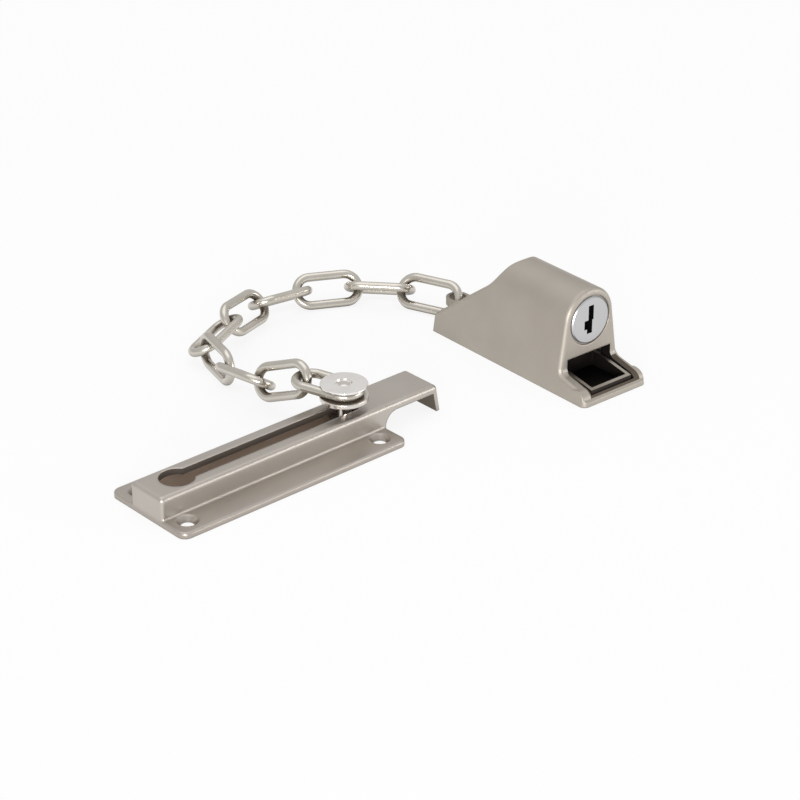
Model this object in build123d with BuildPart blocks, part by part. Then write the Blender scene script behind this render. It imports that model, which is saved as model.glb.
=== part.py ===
"""Keyed door chain: a slotted slide track with a hooked tongue, a riveted stud that runs in it,
ten welded chain links, and a cast lock housing whose catch takes the tongue's lip.

Millimetres. The origin is the middle of the track's four screw holes, on the mounting plane.
+X runs along the track towards the tongue, +Z points away from the mounting plane. Track and
housing lie on that plane, and the chain lies beside them on the same surface.
"""
from build123d import *
from math import cos, radians, sin, tan
import os

# Slide track
track_length = 90.0
track_width = 37.0
flange_thick = 2.0
flange_corner = 3.0
flange_edge = 0.7
screw_pitch_x = 77.2
screw_pitch_y = 24.0
screw_hole_r = 2.1
screw_sink_r = 3.6
channel_width = 15.6
channel_height = 9.7
channel_roof = 2.3
channel_wall = 1.8
channel_edge = 1.4
channel_root = 0.5
keyhole_x = -33.0
keyhole_r = 5.7
slot_r = 3.3
slot_end_x = 39.3
tongue_reach = 67.6
tongue_thick = 2.7
tongue_root = 4.8
lip_thick = 2.0
lip_bend = 1.8
lip_flare = 10.0
lip_clear = 0.1

# Slider: a turned stud, and the cap riveted over the chain's first link
stud_x = 34.1
foot_r = 5.2
foot_low = 4.9
foot_thick = 2.2
stem_r = 2.5
disc_r = 7.95
disc_low = 13.2
disc_thick = 1.6
neck_r = 3.2
neck_height = 3.4
rivet_r = 1.7
rivet_head_r = 2.0
rivet_head_rise = 0.3
cap_r = 7.75
cap_rim = 0.6
cap_rise = 0.3
cap_edge = 0.2
cap_dish_r = 2.7
cap_dish_depth = 0.55
rivet_fit = 0.02

# Chain
wire = 3.1
link_length = 25.6
link_width = 13.2
link_play = 0.6
chain_start = Vector(stud_x, 0, disc_low + disc_thick + 1.6)
# How each link lies, from the slider to the housing: heading, climb and roll, in degrees
chain_lie = [
    (106.7, 0.0, 0.0),
    (100.5, -22.5, -71.6),
    (88.3, -7.8, 33.1),
    (75.1, 0.0, -87.7),
    (19.3, 7.4, -26.0),
    (19.8, -3.5, 50.9),
    (-2.4, -3.7, -30.8),
    (-27.4, -0.4, 54.7),
    (-48.0, 0.0, -32.3),
    (-71.0, 0.8, 55.4),
]
# At the sharp turn, link 5 hooks round the side of link 4 and not round its end
side_hook = 5
side_hook_shift = Vector(-1.15, 1.38, -0.88)

# Lock housing, along its own length from the chain lug
housing_heading = -92.0
lug_hole_r = 3.0
lug_r = 4.2
lug_thick = 2.6
lug_off_wire = Vector(0.3, 0.25, 0)
lug_z = 6.2
tail_x = 3.5
tail_height = 6.7
ramp_angle = 37.5
ramp_length = 28.4
hollow_r = 18.0
rise_angle = 62.0
rise_length = 2.2
crest_r = 6.0
ridge_height = 34.3
arch_r = 10.7
draft = 8.5
front_x = tail_x + 62.7
foot_x = tail_x + 76.0
foot_rim = 6.8
foot_nose = 4.5
foot_nose_height = 4.8
foot_lip = 1.7
foot_corner = 2.2
front_edge = 1.6
foot_root = 2.5
shoulder_edge = 1.0
casting_wall = 1.6
front_wall = 4.2
mouth_height = 11.3
pocket_half = 9.7
pocket_end = foot_x - 1.5

# Lock
lock_z = 23.15
face_bore_r = 8.8
face_bore_depth = 1.4
barrel_r = 8.2
barrel_length = 22.0
barrel_flange = 0.9
clip_thick = 1.2
clip_groove_r = 7.4
clip_r = 8.7
plug_r = 6.2
plug_fit = 0.05
face_r = 8.2
face_proud = 0.2
face_chamfer = 0.4
plug_square = 5.0
key_width = 2.3
key_height = 10.6
key_bulge = 3.2
wafer_thick = 1.0
wafer_slot = 1.2
wafer_pitch = 3.4
wafer_count = 4
wafer_width = 6.4
cam_thick = 2.6
cam_reach = 8.9
cam_hub = 4.6
cam_width = 6.0
cam_screw_r = 1.5
cam_screw_head = 3.0

# Catch in the foot, the pin it tilts on, its spring, and the plate that closes the back
plate_thick = 1.5
plate_gap = 0.1
catch_width = 18.0
catch_wall = 1.3
catch_end = pocket_end - 0.7
catch_low = 1.8
catch_rear_height = 6.8
catch_front_height = 4.3
pin_x = tail_x + 52.0
pin_z = 5.0
pin_r = 1.25
pin_fit = 0.05
lever_half = 3.0
lever_back = 14.1
lever_top = 15.75
leaf_thick = 0.4
leaf_bend = 1.5
leaf_arm = 4.6
post_x = (tail_x + 12.0, tail_x + 34.0)
post_y = (0.0, 8.8)
plate_screw_r = 1.25
plate_screw_head = 2.2


def save(part, label):
    """Write one piece to its own file."""
    part.label = label
    export_step(part, f"parts/{label}.step")


os.makedirs("parts", exist_ok=True)

# Slide track: a flange with a channel, whose roof runs on past the end as the tongue
half_track = track_length / 2
half_channel = channel_width / 2
under_tongue = channel_height - tongue_thick
with BuildPart() as channel:
    with BuildSketch(Plane.XZ.offset(-half_channel)):
        with BuildLine():
            top = Line((-half_track, channel_height), (tongue_reach - lip_bend, channel_height))
            bend = JernArc(top @ 1, top % 1, lip_bend, lip_flare - 90)
            drop = (bend @ 1).Y - lip_clear
            outer = Line(bend @ 1, (bend @ 1) + Vector(drop * tan(radians(lip_flare)), -drop))
            inner = Line((outer @ 1) - (lip_thick, 0), (tongue_reach - lip_thick, under_tongue))
            under = Line(inner @ 1, (half_track + tongue_root, under_tongue))
            root = RadiusArc(under @ 1, (half_track, under_tongue - tongue_root), -tongue_root)
            Polyline(root @ 1, (half_track, 0), (-half_track, 0), top @ 0)
            Line(outer @ 1, inner @ 0)
        make_face()
    extrude(amount=channel_width)
    crown = channel.edges().filter_by(lambda e: e.center().Z > under_tongue + 0.5)
    corners = channel.edges().filter_by(Axis.Z).filter_by(lambda e: e.center().X < 0)
    fillet(crown.filter_by(lambda e: abs(e.center().Y) > 1 or e.center().X < 0) + corners, channel_edge)

with BuildPart() as track:
    with BuildSketch():
        RectangleRounded(track_length, track_width, flange_corner)
    extrude(amount=flange_thick)
    fillet(track.faces().sort_by(Axis.Z)[-1].edges(), flange_edge)
    add(channel.part)
    with BuildSketch(Plane.YZ.offset(-half_track + 2.0)):
        for side in (-1, 1):
            with BuildLine():
                across = Line((side * half_channel, flange_thick), (side * (half_channel + channel_root), flange_thick))
                RadiusArc(across @ 1, (side * half_channel, flange_thick + channel_root), side * channel_root)
                Line((side * half_channel, flange_thick + channel_root), across @ 0)
            make_face()
    extrude(amount=track_length - 3.0)
    with BuildSketch(Plane.XY):
        RectangleRounded(track_length - 2 * channel_wall, channel_width - 2 * channel_wall, 1.5)
    extrude(amount=channel_height - channel_roof, mode=Mode.SUBTRACT)
    with BuildSketch(Plane.XY.offset(channel_height - channel_roof)):
        with Locations((keyhole_x, 0)):
            Circle(keyhole_r)
        with Locations(((keyhole_x + slot_end_x - slot_r) / 2, 0)):
            SlotCenterToCenter(slot_end_x - slot_r - keyhole_x, 2 * slot_r)
    extrude(amount=channel_roof, mode=Mode.SUBTRACT)
    with Locations(Plane.XY.offset(flange_thick)):
        with GridLocations(screw_pitch_x, screw_pitch_y, 2, 2):
            CounterSinkHole(radius=screw_hole_r, counter_sink_radius=screw_sink_r)
save(track.part, "slide_track")

# Slider: foot under the channel's roof, stem through the slot, disc above, neck through link 1
neck_low = disc_low + disc_thick
cap_low = neck_low + neck_height
cap_top = cap_low + cap_rim + cap_rise
rivet_top = cap_top - cap_dish_depth
with BuildPart() as stud:
    for low, high, radius in (
        (foot_low, foot_low + foot_thick, foot_r),
        (foot_low, disc_low, stem_r),
        (disc_low, neck_low, disc_r),
        (disc_low, cap_low, neck_r),
        (cap_low, rivet_top, rivet_r),
    ):
        with BuildSketch(Plane((stud_x, 0, low))):
            Circle(radius)
        extrude(amount=high - low)
    rims = stud.edges().filter_by(GeomType.CIRCLE)
    fillet(rims.filter_by(lambda e: abs(e.radius - disc_r) < 0.01), 0.35)
    chamfer(rims.filter_by(lambda e: abs(e.radius - foot_r) < 0.01), 0.3)
    with BuildSketch(Plane.XZ.shift_origin((stud_x, 0, rivet_top))):
        with BuildLine():
            head = ThreePointArc((0, rivet_head_rise), (rivet_head_r * 0.72, rivet_head_rise * 0.72), (rivet_head_r, 0))
            Polyline(head @ 1, (0, 0), head @ 0)
        make_face()
    revolve(axis=Axis((stud_x, 0, 0), (0, 0, 1)))
save(stud.part, "slider_stud")

with BuildPart() as cap:
    with BuildSketch(Plane.XZ.shift_origin((stud_x, 0, cap_low))):
        with BuildLine():
            dome = ThreePointArc(
                (cap_r, cap_rim),
                ((cap_r + cap_dish_r) / 2 + 0.2, cap_rim + cap_rise * 0.72),
                (cap_dish_r, cap_rim + cap_rise),
            )
            Polyline(
                dome @ 1,
                (cap_dish_r - 0.25, cap_top - cap_low - cap_dish_depth),
                (rivet_r + rivet_fit, cap_top - cap_low - cap_dish_depth),
                (rivet_r + rivet_fit, 0),
                (cap_r, 0),
                (cap_r, cap_rim),
            )
        make_face()
    revolve(axis=Axis((stud_x, 0, 0), (0, 0, 1)))
    rims = cap.edges().filter_by(GeomType.CIRCLE)
    fillet(rims.filter_by(lambda e: abs(e.radius - cap_r) < 0.01), cap_edge)
save(cap.part, "slider_cap")

# Chain: one welded link, laid ten times along the way the chain lies
pitch = link_length - 2 * wire - link_play
bow_r = (link_width - wire) / 2
bow_x = (link_length - link_width) / 2
with BuildPart() as link:
    for side in (-1, 1):
        with BuildSketch(Plane.YZ.offset(-bow_x)):
            with Locations((side * bow_r, 0)):
                Circle(wire / 2)
        extrude(amount=2 * bow_x)
    for end in (-1, 1):
        with BuildSketch(Plane.YZ.offset(end * bow_x)):
            with Locations((-end * bow_r, 0)):
                Circle(wire / 2)
        revolve(axis=Axis((end * bow_x, 0, 0), (0, 0, 1)), revolution_arc=180)


def link_plane(centre, heading, climb, roll):
    """The plane of a link: X along it, Z square to its loop."""
    along = Vector(1, 0, 0).rotate(Axis.Y, -climb).rotate(Axis.Z, heading)
    level = Vector(0, 1, 0).rotate(Axis.Z, heading)
    up = along.cross(level)
    return Plane(centre, x_dir=along, z_dir=up * cos(radians(roll)) - level * sin(radians(roll)))


joint_at = chain_start
for number, (heading, climb, roll) in enumerate(chain_lie, start=1):
    along = link_plane(joint_at, heading, climb, roll).x_dir
    centre = joint_at + along * (bow_x if number == 1 else pitch / 2)
    if number == side_hook:
        centre += side_hook_shift
    placed = link.part.moved(link_plane(centre, heading, climb, roll).location)
    save(placed, f"chain_link_{number:02d}")
    joint_at = centre + along * (pitch / 2)
lug_at = centre + along * ((link_length - wire) / 2) + lug_off_wire

# Lock housing, built along its own length and then turned to where it lies
laid = Plane((lug_at.X, lug_at.Y, 0), x_dir=(cos(radians(housing_heading)), sin(radians(housing_heading)), 0))


def save_laid(part, label):
    """Write a piece of the lock housing where the housing lies."""
    save(part.moved(laid.location), label)


def arch_section(inset=0.0):
    """Cross-section of the housing: drafted sides under a round arch."""
    radius = arch_r - inset
    centre_z = ridge_height - arch_r
    side_y = radius * cos(radians(draft))
    side_z = centre_z + radius * sin(radians(draft))
    base_y = side_y + side_z * tan(radians(draft))
    with BuildSketch() as section:
        with BuildLine():
            arch = CenterArc((0, centre_z), radius, draft, 180 - 2 * draft)
            Polyline(arch @ 1, (-base_y, 0), (base_y, 0), arch @ 0)
        make_face()
    return section.sketch


def side_profile():
    """The housing from the side: tail, ramp, hollow, crest, ridge and foot."""
    with BuildSketch() as side:
        with BuildLine():
            ramp = PolarLine((tail_x, tail_height), ramp_length, ramp_angle)
            hollow = JernArc(ramp @ 1, ramp % 1, hollow_r, rise_angle - ramp_angle)
            rise = PolarLine(hollow @ 1, rise_length, rise_angle)
            crest = JernArc(rise @ 1, rise % 1, crest_r, -rise_angle)
            top = Line(crest @ 1, (front_x, (crest @ 1).Y))
            rim = Polyline(top @ 1, (front_x, foot_rim), (foot_x - foot_nose, foot_nose_height))
            nose = ThreePointArc(rim @ 1, (foot_x - foot_nose / 2, foot_nose_height - 0.9), (foot_x - 1.0, foot_lip + 0.5))
            Polyline(nose @ 1, (foot_x, foot_lip), (foot_x, 0), (tail_x, 0), (tail_x, tail_height))
        make_face()
    return side.sketch


with BuildPart() as housing_hollow:
    with BuildSketch(Plane.YZ.offset(tail_x)):
        add(arch_section(casting_wall))
    extrude(amount=front_x - front_wall - tail_x)
    with BuildSketch(Plane.XZ.offset(-track_width / 2)):
        with Locations((1.6, -casting_wall)):
            add(side_profile())
    extrude(amount=track_width, mode=Mode.INTERSECT)

with BuildPart() as housing:
    with BuildSketch(Plane.YZ.offset(tail_x)):
        add(arch_section())
    extrude(amount=foot_x - tail_x)
    with BuildSketch(Plane.XZ.offset(-track_width / 2)):
        add(side_profile())
    extrude(amount=track_width, mode=Mode.INTERSECT)
    front = housing.faces().filter_by(lambda f: abs(f.center().X - front_x) < 0.1 and f.normal_at().X > 0.99)
    fillet(front.edges().sort_by(Axis.Z)[0], foot_root)
    shoulders = housing.edges().filter_by(
        lambda e: tail_x + 0.5 < e.center().X < tail_x + 36 and e.center().Z > 3 and abs(e.center().Y) > 2
    )
    fillet(shoulders, shoulder_edge)
    noses = housing.edges().filter_by(
        lambda e: abs(e.center().X - foot_x) < 0.1 and e.length < foot_lip + 0.3 and abs(e.center().Y) > 5
    )
    fillet(noses, foot_corner)
    front = housing.faces().filter_by(lambda f: abs(f.center().X - front_x) < 0.1 and f.normal_at().X > 0.99)
    fillet(front.edges().filter_by(lambda e: e.center().Z > foot_rim + foot_root + 0.1), front_edge)
    add(housing_hollow.part, mode=Mode.SUBTRACT)
    # The foot's pocket, and the mouth that leads from it into the housing
    with BuildSketch(Plane.XY):
        with Locations(((front_x - front_wall + pocket_end) / 2, 0)):
            Rectangle(pocket_end - front_x + front_wall, 2 * pocket_half)
    extrude(amount=foot_rim + 1.0, mode=Mode.SUBTRACT)
    with BuildSketch(Plane.YZ.offset(front_x - front_wall)):
        with Locations((0, mouth_height / 2)):
            Rectangle(2 * pocket_half, mouth_height)
    extrude(amount=front_wall + foot_root, mode=Mode.SUBTRACT)
    # Bore for the lock barrel, wider at the face
    for start, radius in ((front_x - front_wall, barrel_r + 0.02), (front_x - face_bore_depth, face_bore_r)):
        with BuildSketch(Plane.YZ.offset(start)):
            with Locations((0, lock_z)):
                Circle(radius)
        extrude(amount=front_x - start, mode=Mode.SUBTRACT)
    # Posts for the plate's screws, rising into the casting
    for x, y in ((post_x[0], post_y[0]), (post_x[1], post_y[1]), (post_x[1], -post_y[1])):
        with BuildSketch(Plane((x, y, plate_thick))):
            Circle(2 * plate_screw_r + 0.2)
        extrude(amount=11.0 if y == 0 else 8.0)
    for x, y in ((post_x[0], post_y[0]), (post_x[1], post_y[1]), (post_x[1], -post_y[1])):
        with BuildSketch(Plane((x, y, plate_thick))):
            Circle(plate_screw_r)
        extrude(amount=6.5, mode=Mode.SUBTRACT)
    # Blind bores for the catch's pin, from wall to wall
    with BuildSketch(Plane.XZ.offset(-12.4)):
        with Locations((pin_x, pin_z)):
            Circle(pin_r)
    extrude(amount=24.8, mode=Mode.SUBTRACT)
    # Lug for the last link
    with BuildSketch(Plane.XY.offset(lug_z - lug_thick / 2)):
        with Locations((tail_x / 2 + 1.0, 0)):
            Rectangle(tail_x + 2.0, 2 * lug_r)
        Circle(lug_r)
        Circle(lug_hole_r, mode=Mode.SUBTRACT)
    extrude(amount=lug_thick)
save_laid(housing.part, "lock_housing")

# Lock: barrel in the front bore, its clip behind the front wall, and the plug that turns in it
barrel_front = front_x - face_bore_depth + barrel_flange
barrel_back = barrel_front - barrel_length
clip_x = front_x - front_wall - clip_thick - 0.05
with BuildPart() as barrel:
    with BuildSketch(Plane.YZ.offset(barrel_back)):
        with Locations((0, lock_z)):
            Circle(barrel_r)
            Circle(plug_r + plug_fit, mode=Mode.SUBTRACT)
    extrude(amount=barrel_length)
    with BuildSketch(Plane.YZ.offset(barrel_front - barrel_flange)):
        with Locations((0, lock_z)):
            Circle(face_bore_r - 0.1)
            Circle(barrel_r - 1.0, mode=Mode.SUBTRACT)
    extrude(amount=barrel_flange)
    with BuildSketch(Plane.YZ.offset(clip_x - 0.05)):
        with Locations((0, lock_z)):
            Circle(barrel_r + 1.0)
            Circle(clip_groove_r, mode=Mode.SUBTRACT)
    extrude(amount=clip_thick + 0.1, mode=Mode.SUBTRACT)
save_laid(barrel.part, "lock_barrel")

with BuildPart() as clip:
    with BuildSketch(Plane.YZ.offset(clip_x)):
        with Locations((0, lock_z)):
            Circle(clip_r)
            Circle(clip_groove_r + 0.05, mode=Mode.SUBTRACT)
        with Locations((0, lock_z - clip_r / 2 - 2)):
            Rectangle(2 * (clip_groove_r + 0.05) * 0.8, clip_r, mode=Mode.SUBTRACT)
    extrude(amount=clip_thick)
save_laid(clip.part, "barrel_clip")

plug_front = front_x + face_proud
square_back = barrel_back - 0.1 - cam_thick - 0.3
with BuildPart() as plug:
    with BuildSketch(Plane.YZ.offset(barrel_back)):
        with Locations((0, lock_z)):
            Circle(plug_r)
    extrude(amount=barrel_length)
    with BuildSketch(Plane.YZ.offset(barrel_front + 0.1)):
        with Locations((0, lock_z)):
            Circle(face_r)
    extrude(amount=plug_front - barrel_front - 0.1)
    chamfer(plug.faces().sort_by(Axis.X)[-1].edges(), face_chamfer)
    with BuildSketch(Plane.YZ.offset(barrel_front)):
        with Locations((0, lock_z)):
            Circle(plug_r)
    extrude(amount=0.1)
    with BuildSketch(Plane.YZ.offset(square_back + 0.2)):
        with Locations((0, lock_z)):
            Rectangle(plug_square, plug_square)
    extrude(amount=barrel_back - square_back - 0.2)
    # Keyway: two offset bars with a wide step between them
    with BuildSketch(Plane.YZ.offset(barrel_back + 2.0)):
        with Locations((0, lock_z)):
            with Locations((0.15, key_height / 4)):
                Rectangle(key_width, key_height / 2)
            with Locations((-0.35, 0.3 - key_height / 4)):
                Rectangle(key_width, key_height / 2 - 0.6)
            with Locations((-1.1, -1.4)):
                Rectangle(key_bulge, key_bulge)
    extrude(amount=barrel_length + 2.0, mode=Mode.SUBTRACT)
    for index in range(wafer_count):
        x = barrel_front - 3.0 - index * wafer_pitch
        with BuildSketch(Plane.YZ.offset(x - wafer_slot)):
            with Locations((0, lock_z)):
                Rectangle(wafer_width + 0.1, 2 * plug_r + 1.0)
        extrude(amount=wafer_slot, mode=Mode.SUBTRACT)
    with BuildSketch(Plane.YZ.offset(square_back + 0.2)):
        with Locations((0, lock_z)):
            Circle(cam_screw_r)
    extrude(amount=3.6, mode=Mode.SUBTRACT)
save_laid(plug.part, "lock_plug")

with BuildPart() as wafers:
    for index in range(wafer_count):
        x = barrel_front - 3.0 - index * wafer_pitch
        with BuildSketch(Plane.YZ.offset(x - (wafer_slot + wafer_thick) / 2)):
            with Locations((0, lock_z)):
                Circle(plug_r - 0.1)
                Rectangle(wafer_width, 2 * plug_r, mode=Mode.INTERSECT)
                with Locations((-0.1, (1.5 - index) * 0.5)):
                    Rectangle(3.4, 7.4, mode=Mode.SUBTRACT)
        extrude(amount=wafer_thick)
save_laid(wafers.part, "wafers")

with BuildPart() as cam:
    with BuildSketch(Plane.YZ.offset(barrel_back - 0.1 - cam_thick)):
        with Locations((0, lock_z)):
            Circle(cam_hub)
            with Locations(((cam_reach - cam_width / 2) / 2, 0)):
                Rectangle(cam_reach - cam_width / 2, cam_width)
            with Locations((cam_reach - cam_width / 2, 0)):
                Circle(cam_width / 2)
            Rectangle(plug_square + 0.04, plug_square + 0.04, mode=Mode.SUBTRACT)
    extrude(amount=cam_thick)
save_laid(cam.part, "lock_cam")

with BuildPart() as screw:
    with BuildSketch(Plane.YZ.offset(square_back)):
        with Locations((0, lock_z)):
            Circle(cam_screw_r)
    extrude(amount=3.4)
    with BuildSketch(Plane.YZ.offset(square_back - 1.6)):
        with Locations((0, lock_z)):
            Circle(cam_screw_head)
    extrude(amount=1.6)
    with BuildSketch(Plane.YZ.offset(square_back - 1.6)):
        with Locations((0, lock_z)):
            Rectangle(2 * cam_screw_head, 0.7)
    extrude(amount=0.8, mode=Mode.SUBTRACT)
save_laid(screw.part, "cam_screw")

# Catch: an open frame in the foot, with a hub on its pin and a lever under the cam
catch_back = pin_x + 3.2
with BuildPart() as catch:
    with BuildSketch(Plane.XZ.offset(-catch_width / 2)):
        Polygon(
            (catch_back, catch_low),
            (catch_end, catch_low),
            (catch_end, catch_front_height),
            (catch_back + 4.0, catch_rear_height),
            (catch_back, catch_rear_height),
            align=None,
        )
    extrude(amount=catch_width)
    with BuildSketch(Plane.XY):
        with Locations(((catch_back + catch_end) / 2, 0)):
            RectangleRounded(catch_end - catch_back - 2 * catch_wall, catch_width - 2 * catch_wall, 0.4)
    extrude(amount=10, mode=Mode.SUBTRACT)
    with BuildSketch(Plane.XZ.offset(-catch_width / 2)):
        with Locations((pin_x, pin_z)):
            Circle(2.9)
        with Locations((pin_x + 2.2, pin_z)):
            Rectangle(3.0, 3.6)
    extrude(amount=catch_width)
    with BuildSketch(Plane.XZ.offset(-lever_half)):
        Polygon(
            (pin_x, pin_z - 2.0),
            (pin_x + 1.5, pin_z + 2.4),
            (pin_x - 5.0, pin_z + 4.6),
            (pin_x - 7.0, pin_z + 7.0),
            (pin_x - lever_back + 2.0, lever_top - 1.9),
            (pin_x - lever_back + 2.0, lever_top),
            (pin_x - lever_back - 2.1, lever_top),
            (pin_x - lever_back - 2.1, pin_z + 3.0),
            (pin_x - 4.0, pin_z - 0.5),
            align=None,
        )
    extrude(amount=2 * lever_half)
    with BuildSketch(Plane.XZ.offset(-catch_width / 2 - 1)):
        with Locations((pin_x, pin_z)):
            Circle(pin_r + pin_fit)
    extrude(amount=catch_width + 2, mode=Mode.SUBTRACT)
save_laid(catch.part, "catch")

with BuildPart() as pin:
    with BuildSketch(Plane.XZ.offset(-12.3)):
        with Locations((pin_x, pin_z)):
            Circle(pin_r)
    extrude(amount=24.6)
save_laid(pin.part, "catch_pin")

# Leaf spring under the lever: a strip bent back on itself
leaf_x = pin_x - lever_back - 0.6
leaf_low = plate_thick + 0.05 + leaf_thick / 2
with BuildPart() as leaf:
    with BuildSketch(Plane.XZ.offset(-lever_half + 0.4)):
        with BuildLine():
            foot = Line((leaf_x + 7.0, leaf_low), (leaf_x - 3.0, leaf_low))
            turn = JernArc(foot @ 1, foot % 1, leaf_bend, -150)
            PolarLine(turn @ 1, leaf_arm, 30)
        trace(line_width=leaf_thick)
    extrude(amount=2 * lever_half - 0.8)
save_laid(leaf.part, "catch_spring")

# Back plate and its screws
plate_step = front_x - front_wall - plate_gap
plate_front = pocket_end - plate_gap
plate_narrow = 2 * (pocket_half - plate_gap)
with BuildPart() as plate:
    with BuildSketch(Plane.XY):
        with Locations(((tail_x + 4.0 + plate_step) / 2, 0)):
            RectangleRounded(plate_step - tail_x - 4.0, 23.0, 1.5)
        with Locations(((plate_step - 3.0 + plate_front) / 2, 0)):
            Rectangle(plate_front - plate_step + 3.0, plate_narrow)
    extrude(amount=plate_thick)
    for x, y in ((post_x[0], post_y[0]), (post_x[1], post_y[1]), (post_x[1], -post_y[1])):
        with Locations(Plane((x, y, 0), z_dir=(0, 0, -1))):
            CounterSinkHole(radius=plate_screw_r + 0.15, counter_sink_radius=plate_screw_head)
    for x in (tail_x + 22.0, tail_x + 46.0):
        with Locations(Plane((x, 0, plate_thick))):
            CounterSinkHole(radius=screw_hole_r, counter_sink_radius=screw_sink_r - 0.4)
save_laid(plate.part, "back_plate")

on_base = (Align.CENTER, Align.CENTER, Align.MIN)
with BuildPart() as plate_screws:
    for x, y in ((post_x[0], post_y[0]), (post_x[1], post_y[1]), (post_x[1], -post_y[1])):
        with Locations(Location((x, y, 0))):
            Cone(plate_screw_head - 0.1, plate_screw_r, plate_screw_head - plate_screw_r, align=on_base)
            Cylinder(plate_screw_r, 7.0, align=on_base)
save_laid(plate_screws.part, "plate_screws")
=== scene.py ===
"""Keyed door chain in satin and polished nickel: materials, floor, light and camera."""
import math

import bpy
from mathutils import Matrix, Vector

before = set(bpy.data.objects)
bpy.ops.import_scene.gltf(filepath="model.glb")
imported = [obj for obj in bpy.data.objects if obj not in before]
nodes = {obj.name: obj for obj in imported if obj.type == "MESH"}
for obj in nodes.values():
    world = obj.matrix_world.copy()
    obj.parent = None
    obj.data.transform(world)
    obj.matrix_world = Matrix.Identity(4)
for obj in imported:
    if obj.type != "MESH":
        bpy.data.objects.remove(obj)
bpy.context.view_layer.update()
scene = bpy.context.scene
LINKS = [f"chain_link_{n:02d}" for n in range(1, 11)]

# The housing's axis starts at its lug: the lug's place in mm, and the heading of the lock's face in degrees
HOUSING = dict(origin=(120.977, 40.023), heading=-92.0)

# Boxes in mm along the track or the housing, as lowest and highest corner.
# What lies inside one gets painted shade, a plain dull colour laid where shade falls in the slot and under
# the lip, on the foot and in its mouth, inside the catch and in the keyway.
SLOT_EDGES = ((-43.4, -6.1, -1), (43.4, 6.1, 9.55))
CHANNEL_INSIDE = ((-43.4, -6.1, -1), (43.4, 6.1, 7.45))
LIP = ((64.0, -9, -1), (69.5, 9, 7.2))
FOOT_RIMS = ((66.0, -10.2, 2.2), (78.6, 12.0, 7.2))
FOOT_MOUTH = ((56, -9.75, -1), (78.05, 9.75, 11.35))
CATCH_INSIDE = ((30, -7.75, -1), (76.05, 7.75, 20))
KEYWAY = ((30, -2.8, 17.7), (66.32, 1.45, 28.5))

# Surface detail
GRAIN_SCALE = 2600.0
GRAIN_DEPTH = 0.00005
SAMPLES = 8

# Floor, in metres, and the share of plain white in how it is seen
FLOOR_SIZE = 12.0
FLOOR_CENTRE = (0.06, 0.02, -0.00005)
FLOOR_GLOW = 0.86

# Softboxes: place, width, height, power. They all point at AIM.
AIM = (0.06, 0.03, 0.0)
LAMPS = {
    "top_box": ((0.05, 0.20, 1.25), 1.4, 1.2, 3.6),
    "front_left_box": ((-1.0, -0.45, 0.45), 0.6, 0.7, 0.8),
    "near_box": ((-0.95, -0.98, 0.22), 0.5, 0.35, 12.5),
    "right_box": ((0.95, -1.0, 0.22), 0.9, 0.4, 3.6),
}
SKY_STRENGTH = 0.76
SKY_LOW = (0.86, 0.85, 0.84, 1)
SKY_HIGH = (0.98, 0.98, 0.99, 1)
SKY_HIGH_FROM = 0.75

# Camera: the focal length is 2564.8 pixels of an 800 pixel picture
SENSOR = 36.0
LENS = 2564.8 / 800 * SENSOR
EYE = Vector((-0.4351, -0.5511, 0.3926))
TARGET = Vector((0.0635, 0.00619, 0.0))


# Materials

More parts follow.
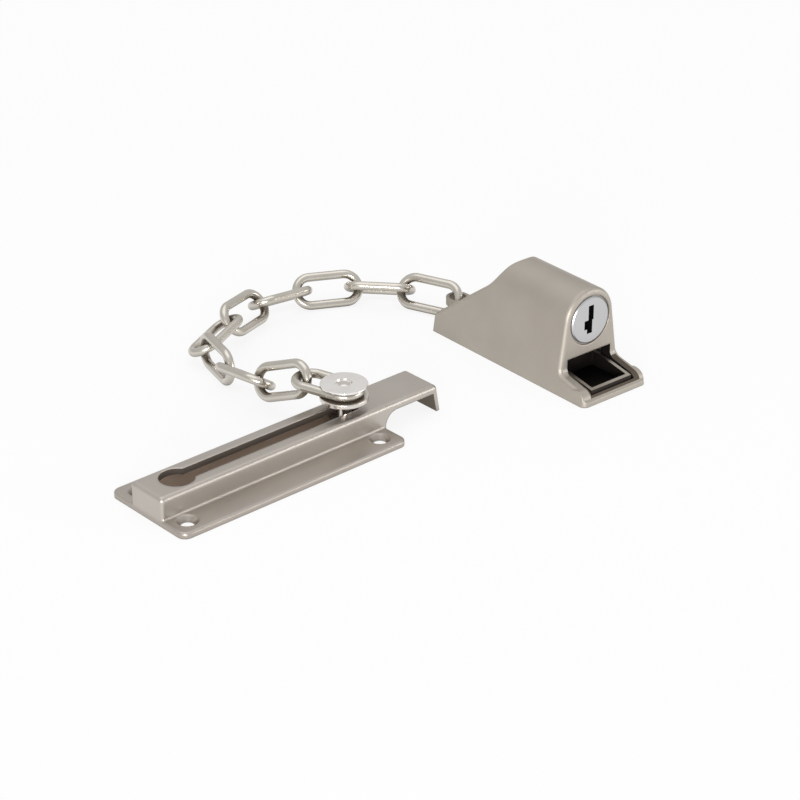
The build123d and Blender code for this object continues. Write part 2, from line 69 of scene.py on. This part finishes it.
class Shade:
    """Builds one node material. A value is a number, or a pair of a node and its output."""

    def __init__(self, name):
        self.material = bpy.data.materials.new(name)
        self.material.use_nodes = True
        self.tree = self.material.node_tree
        self.tree.nodes.clear()
        self.output = self.node("ShaderNodeOutputMaterial")
        self.surface = self.node("ShaderNodeBsdfPrincipled")
        self.link(self.surface, "BSDF", self.output, "Surface")

    def node(self, kind, **values):
        made = self.tree.nodes.new(kind)
        for key, value in values.items():
            setattr(made, key, value)
        return made

    def link(self, source, out, target, into):
        self.tree.links.new(source.outputs[out], target.inputs[into])

    def maths(self, operation, *values):
        step = self.node("ShaderNodeMath", operation=operation)
        for index, value in enumerate(values):
            if isinstance(value, tuple):
                self.link(*value, step, index)
            else:
                step.inputs[index].default_value = value
        return step, 0

    def fade(self, value, start, end, low, high):
        """Map a value from start to end onto low to high, and hold it there beyond them."""
        spread = self.node("ShaderNodeMapRange")
        self.link(*value, spread, "Value")
        for name, number in (("From Min", start), ("From Max", end), ("To Min", low), ("To Max", high)):
            spread.inputs[name].default_value = number
        return spread, "Result"

    def noise(self, scale, rough=0.5, stretch=(1, 1, 1)):
        """Noise in the object's own metres, stretched along an axis where asked."""
        coordinates = self.node("ShaderNodeTexCoord")
        turn = self.node("ShaderNodeMapping")
        turn.inputs["Scale"].default_value = stretch
        noise = self.node("ShaderNodeTexNoise")
        noise.inputs["Scale"].default_value = scale
        noise.inputs["Detail"].default_value = 2.0
        noise.inputs["Roughness"].default_value = rough
        self.link(coordinates, "Object", turn, "Vector")
        self.link(turn, "Vector", noise, "Vector")
        return noise, "Fac"

    def spread(self, pattern, low, high):
        """Map a noise pattern onto low to high."""
        return self.fade(pattern, 0.3, 0.7, low, high)

    def colours(self, pattern, dark, light):
        """Blend two colours by a noise pattern."""
        blend = self.node("ShaderNodeMix", data_type="RGBA")
        for socket in blend.inputs:
            if socket.type == "RGBA":
                socket.default_value = (*(dark if socket.name == "A" else light), 1)
        self.link(*self.spread(pattern, 0.0, 1.0), blend, 0)
        result = [socket for socket in blend.outputs if socket.type == "RGBA"][0]
        self.tree.links.new(result, self.surface.inputs["Base Color"])

    def bump(self, pattern, strength, distance):
        """Add relief, after any change to the normal that is there already."""
        relief = self.node("ShaderNodeBump")
        relief.inputs["Strength"].default_value = strength
        relief.inputs["Distance"].default_value = distance
        self.link(*pattern, relief, "Height")
        normal = self.surface.inputs["Normal"]
        if normal.links:
            self.tree.links.new(normal.links[0].from_socket, relief.inputs["Normal"])
        self.link(relief, "Normal", self.surface, "Normal")

    def place(self, origin=(0, 0), heading=0.0):
        """Coordinates in mm along a piece that lies at this origin and heading."""
        coordinates = self.node("ShaderNodeTexCoord")
        shift = self.node("ShaderNodeVectorMath", operation="SUBTRACT")
        shift.inputs[1].default_value = (origin[0] / 1000, origin[1] / 1000, 0)
        turn = self.node("ShaderNodeVectorRotate", rotation_type="Z_AXIS")
        turn.inputs["Angle"].default_value = -math.radians(heading)
        large = self.node("ShaderNodeVectorMath", operation="SCALE")
        large.inputs["Scale"].default_value = 1000.0
        split = self.node("ShaderNodeSeparateXYZ")
        self.link(coordinates, "Object", shift, 0)
        self.link(shift, 0, turn, "Vector")
        self.link(turn, 0, large, 0)
        self.link(large, 0, split, 0)
        return split

    def facing(self, axis):
        """The surface's direction along one of the axes, -1 to 1."""
        coordinates = self.node("ShaderNodeTexCoord")
        split = self.node("ShaderNodeSeparateXYZ")
        self.link(coordinates, "Normal", split, 0)
        return split, axis

    def within(self, split, box):
        """1 inside a box and 0 outside it."""
        result = None
        for axis, (low, high) in enumerate(zip(*box)):
            for operation, limit in (("GREATER_THAN", low), ("LESS_THAN", high)):
                test = self.maths(operation, (split, axis), limit)
                result = test if result is None else self.maths("MULTIPLY", result, test)
        return result

    def paint_shade(self, mask, colour, rough=0.6):
        """Paint shade: lay a plain dull surface over the masked part."""
        dull = self.node("ShaderNodeBsdfPrincipled")
        dull.inputs["Base Color"].default_value = (*colour, 1)
        dull.inputs["Roughness"].default_value = rough
        dull.inputs["Specular IOR Level"].default_value = 0.08
        mix = self.node("ShaderNodeMixShader")
        before = self.output.inputs["Surface"].links[0].from_socket
        self.link(*mask, mix, 0)
        self.tree.links.new(before, mix.inputs[1])
        self.link(dull, 0, mix, 2)
        self.link(mix, 0, self.output, "Surface")

    def paint_crevice_shade(self, distance, colour, under=0.6):
        """Paint shade: dull the undersides and the places where pieces lie close together."""
        near = self.node("ShaderNodeAmbientOcclusion", samples=SAMPLES)
        near.inputs["Distance"].default_value = distance
        self.paint_shade(self.fade(self.facing(2), -0.85, -0.05, under, 0.0), colour, 0.45)
        self.paint_shade(self.fade((near, "AO"), 0.2, 0.8, 0.9, 0.0), colour, 0.5)


def metal(name, dark, light, rough, grain=(1, 1, 1), patch=60.0, relief=0.06, metallic=1.0, soften=0.0):
    """A metal with patches of tone, a grain in its gloss, a slight relief and, where asked, soft edges."""
    shade = Shade(name)
    shade.surface.inputs["Metallic"].default_value = metallic
    if soften:
        edges = shade.node("ShaderNodeBevel", samples=SAMPLES)
        edges.inputs["Radius"].default_value = soften
        shade.link(edges, "Normal", shade.surface, "Normal")
    shade.colours(shade.noise(patch), dark, light)
    fine = shade.noise(GRAIN_SCALE, 0.6, grain)
    shade.link(*shade.spread(fine, *rough), shade.surface, "Roughness")
    shade.bump(fine, relief, GRAIN_DEPTH)
    return shade


def satin_nickel():
    """The track, with painted shade: darker on its flange, dark in the slot and on the inner face of its
    lip.
    """
    shade = metal(
        "satin_nickel", (0.465, 0.427, 0.385), (0.495, 0.457, 0.412), (0.32, 0.40),
        grain=(0.05, 1, 1), metallic=0.88, soften=0.0012,
    )
    spot = shade.place()
    # Painted shade, darker towards the bottom of the flange, from 2.4 mm down to 1.2 mm
    shade.paint_shade(shade.fade((spot, 2), 2.4, 1.2, 0.0, 0.22), (0.120, 0.085, 0.060))
    # Painted shade: near black on the slot's cut edges and brown on the channel's inner walls, where shade
    # falls
    shade.paint_shade(shade.within(spot, SLOT_EDGES), (0.085, 0.070, 0.057))
    shade.paint_shade(shade.within(spot, CHANNEL_INSIDE), (0.50, 0.39, 0.31))
    # Painted shade on the inner face of the lip, under the tongue
    inwards = shade.maths("LESS_THAN", shade.facing(0), -0.7)
    shade.paint_shade(shade.maths("MULTIPLY", shade.within(spot, LIP), inwards), (0.105, 0.088, 0.070), 0.45)
    return shade.material


def satin_casting():
    """The housing, with painted shade: brown inside the foot's rims and near black in its mouth."""
    shade = metal(
        "satin_nickel_casting", (0.398, 0.361, 0.313), (0.428, 0.390, 0.338), (0.44, 0.52),
        metallic=0.7, soften=0.0008,
    )
    spot = shade.place(**HOUSING)
    # Painted shade, brown, on the foot's rims around the catch
    shade.paint_shade(shade.within(spot, FOOT_RIMS), (0.085, 0.068, 0.052), 0.5)
    # Painted shade, near black, in the foot's mouth
    shade.paint_shade(shade.within(spot, FOOT_MOUTH), (0.012, 0.010, 0.009))
    return shade.material


def catch_nickel():
    """The catch, with painted shade: only the top of its frame is bright."""
    shade = metal("catch_nickel", (0.40, 0.36, 0.31), (0.46, 0.415, 0.36), (0.30, 0.42))
    # Painted shade on every face that does not face up
    shade.paint_shade(shade.maths("LESS_THAN", shade.facing(2), 0.55), (0.030, 0.024, 0.020))
    # Near black painted shade on the inner part of the catch, in the housing's mouth
    shade.paint_shade(shade.within(shade.place(**HOUSING), CATCH_INSIDE), (0.010, 0.008, 0.007))
    return shade.material


def plug_chrome():
    """The lock's plug, with black painted shade inside its keyway."""
    shade = metal("satin_chrome", (0.525, 0.525, 0.53), (0.57, 0.57, 0.575), (0.36, 0.42), relief=0.03)
    # Painted shade, black, inside the keyway
    shade.paint_shade(shade.within(shade.place(**HOUSING), KEYWAY), (0.004, 0.004, 0.004))
    return shade.material


def polished_nickel():
    """The chain, with painted shade under the links and where they lie close together."""
    shade = metal(
        "polished_nickel", (0.57, 0.535, 0.475), (0.63, 0.595, 0.535), (0.22, 0.25),
        patch=120.0, relief=0.003,
    )
    # Painted shade on the undersides and where the links lie close together
    shade.paint_crevice_shade(0.0026, (0.12, 0.098, 0.078), 0.7)
    return shade.material


def bright_nickel():
    """The slider's cap, with painted shade on its undersides and in its dish."""
    shade = metal(
        "bright_nickel", (0.88, 0.85, 0.81), (0.95, 0.93, 0.90), (0.12, 0.18),
        patch=160.0, relief=0.01,
    )
    # Painted shade on the undersides and in the dish
    shade.paint_crevice_shade(0.0014, (0.16, 0.135, 0.11), 0.4)
    return shade.material


def turned_nickel():
    """The slider's stud, with painted shade on its undersides and where it lies close to other pieces."""
    shade = metal("turned_nickel", (0.66, 0.62, 0.57), (0.74, 0.70, 0.65), (0.14, 0.22), relief=0.02)
    # Painted shade on the undersides and where the stud lies close to other pieces
    shade.paint_crevice_shade(0.0025, (0.11, 0.09, 0.07))
    return shade.material


CHAIN = polished_nickel()
BARREL = metal("barrel_nickel", (0.30, 0.28, 0.25), (0.36, 0.34, 0.31), (0.30, 0.42)).material
# Near black painted shade for the back plate, which is seen only inside the foot's mouth
SHADE_BLACK = metal("back_plate_shade", (0.014, 0.013, 0.012), (0.022, 0.020, 0.018), (0.5, 0.65)).material
ZINC = metal("zinc_plate", (0.45, 0.45, 0.44), (0.55, 0.55, 0.54), (0.28, 0.42)).material
BRASS = metal("wafer_brass", (0.50, 0.36, 0.14), (0.60, 0.45, 0.20), (0.25, 0.4)).material
SPRING = metal("spring_steel", (0.20, 0.20, 0.21), (0.27, 0.27, 0.28), (0.25, 0.35)).material

DRESS = {
    "slide_track": satin_nickel(), "slider_stud": turned_nickel(), "slider_cap": bright_nickel(),
    **{name: CHAIN for name in LINKS},
    "lock_housing": satin_casting(), "back_plate": SHADE_BLACK, "plate_screws": ZINC,
    "lock_barrel": BARREL, "barrel_clip": SPRING, "lock_plug": plug_chrome(), "wafers": BRASS,
    "lock_cam": ZINC, "cam_screw": ZINC,
    "catch": catch_nickel(), "catch_pin": ZINC, "catch_spring": SPRING,
}
for name, material in DRESS.items():
    piece = nodes[name]
    piece.data.materials.clear()
    piece.data.materials.append(material)


# Floor, light and camera

def floor_white():
    """Pale floor that shows white to the camera and in reflections, and keeps the object's shadow."""
    shade = Shade("floor_white")
    shade.surface.inputs["Base Color"].default_value = (0.86, 0.86, 0.86, 1)
    shade.surface.inputs["Roughness"].default_value = 0.9
    shade.surface.inputs["Specular IOR Level"].default_value = 0.0
    path = shade.node("ShaderNodeLightPath")
    seen = shade.maths("MAXIMUM", (path, "Is Camera Ray"), (path, "Is Glossy Ray"))
    seen = shade.maths("MAXIMUM", seen, (path, "Is Transmission Ray"))
    glow = shade.node("ShaderNodeEmission")
    glow.inputs["Color"].default_value = (1.0, 1.0, 1.0, 1)
    glow.inputs["Strength"].default_value = 1.0
    mix = shade.node("ShaderNodeMixShader")
    shade.link(*shade.maths("MULTIPLY", seen, FLOOR_GLOW), mix, 0)
    shade.link(shade.surface, "BSDF", mix, 1)
    shade.link(glow, "Emission", mix, 2)
    shade.link(mix, "Shader", shade.output, "Surface")
    return shade.material


def plane(name, size, centre, material):
    mesh = bpy.data.meshes.new(name)
    corners = [
        (centre[0] + x * size / 2, centre[1] + y * size / 2, centre[2])
        for x, y in ((-1, -1), (1, -1), (1, 1), (-1, 1))
    ]
    mesh.from_pydata(corners, [], [(0, 1, 2, 3)])
    made = bpy.data.objects.new(name, mesh)
    made.data.materials.append(material)
    scene.collection.objects.link(made)


def softbox(name, place, width, height, power):
    """A rectangular lamp that points at the object."""
    data = bpy.data.lights.new(name, "AREA")
    data.shape, data.size, data.size_y = "RECTANGLE", width, height
    data.energy = power
    lamp = bpy.data.objects.new(name, data)
    lamp.location = place
    lamp.rotation_euler = (Vector(AIM) - Vector(place)).to_track_quat("-Z", "Y").to_euler()
    scene.collection.objects.link(lamp)


def studio():
    """A pale room that is a little brighter overhead."""
    world = bpy.data.worlds.new("studio")
    world.use_nodes = True
    tree = world.node_tree
    tree.nodes.clear()
    direction = tree.nodes.new("ShaderNodeTexCoord")
    split = tree.nodes.new("ShaderNodeSeparateXYZ")
    rise = tree.nodes.new("ShaderNodeValToRGB")
    sky = tree.nodes.new("ShaderNodeBackground")
    output = tree.nodes.new("ShaderNodeOutputWorld")
    low, high = rise.color_ramp.elements
    low.position, low.color = 0.0, SKY_LOW
    high.position, high.color = SKY_HIGH_FROM, SKY_HIGH
    sky.inputs["Strength"].default_value = SKY_STRENGTH
    tree.links.new(direction.outputs["Generated"], split.inputs["Vector"])
    tree.links.new(split.outputs["Z"], rise.inputs["Fac"])
    tree.links.new(rise.outputs["Color"], sky.inputs["Color"])
    tree.links.new(sky.outputs["Background"], output.inputs["Surface"])
    return world


plane("floor", FLOOR_SIZE, FLOOR_CENTRE, floor_white())
for name, settings in LAMPS.items():
    softbox(name, *settings)
scene.world = studio()

data = bpy.data.cameras.new("camera")
camera = bpy.data.objects.new("camera", data)
scene.collection.objects.link(camera)
scene.camera = camera
data.sensor_width = SENSOR
data.lens = LENS
data.clip_start, data.clip_end = 0.05, 30.0
camera.location = EYE
camera.rotation_euler = (TARGET - EYE).to_track_quat("-Z", "Y").to_euler()

scene.view_settings.view_transform = "Standard"
